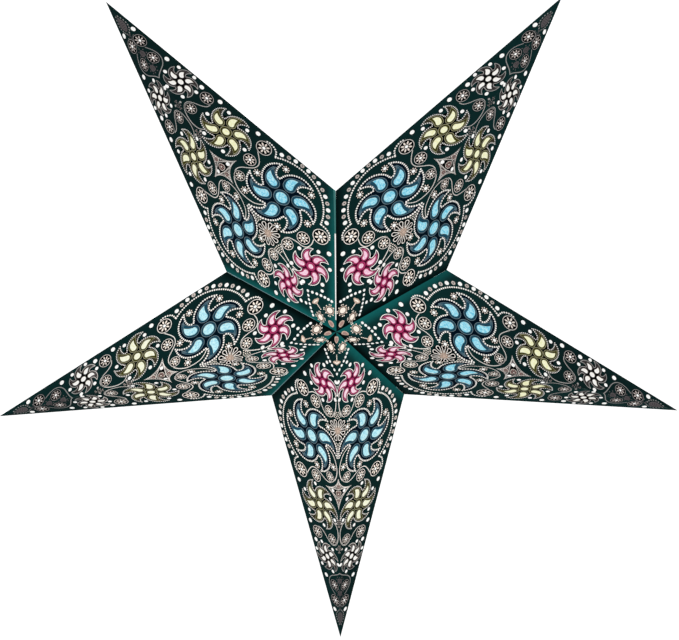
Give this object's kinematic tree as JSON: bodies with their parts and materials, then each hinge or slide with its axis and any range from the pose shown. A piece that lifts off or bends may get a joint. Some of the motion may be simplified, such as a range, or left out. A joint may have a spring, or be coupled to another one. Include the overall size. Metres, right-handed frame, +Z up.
{
  "type": "paper star lantern",
  "caption": "Hollow folded paper star with deep ridged points, pierced flowers backed by coloured tissue, made to hang with a lamp inside.",
  "frame": {"origin": "middle of the star, on its axis and in its mid plane", "axes": "+Y along the star's axis from front to back, the front faces -Y; +Z up, one point hangs straight down; +X to the right"},
  "size_m": [0.5706, 0.178, 0.5427],
  "materials": {
    "printed_paper": "matt dark green print with fine pale ornament",
    "pink_tissue": "thin translucent tissue",
    "blue_tissue": "thin translucent tissue",
    "yellow_tissue": "thin translucent tissue",
    "white_tissue": "thin translucent tissue"
  },
  "bodies": {
    "root": {"upper_left_sheet": "printed_paper", "upper_right_sheet": "printed_paper", "lower_right_sheet": "printed_paper", "lower_sheet": "printed_paper", "lower_left_sheet": "printed_paper", "upper_left_pink_tissue": "pink_tissue", "upper_left_blue_tissue": "blue_tissue", "upper_left_yellow_tissue": "yellow_tissue", "upper_left_white_tissue": "white_tissue", "upper_right_pink_tissue": "pink_tissue", "upper_right_blue_tissue": "blue_tissue", "upper_right_yellow_tissue": "yellow_tissue", "upper_right_white_tissue": "white_tissue", "lower_right_pink_tissue": "pink_tissue", "lower_right_blue_tissue": "blue_tissue", "lower_right_yellow_tissue": "yellow_tissue", "lower_right_white_tissue": "white_tissue", "lower_pink_tissue": "pink_tissue", "lower_blue_tissue": "blue_tissue", "lower_yellow_tissue": "yellow_tissue", "lower_white_tissue": "white_tissue", "lower_left_pink_tissue": "pink_tissue", "lower_left_blue_tissue": "blue_tissue", "lower_left_yellow_tissue": "yellow_tissue", "lower_left_white_tissue": "white_tissue"}
  },
  "joints": []
}
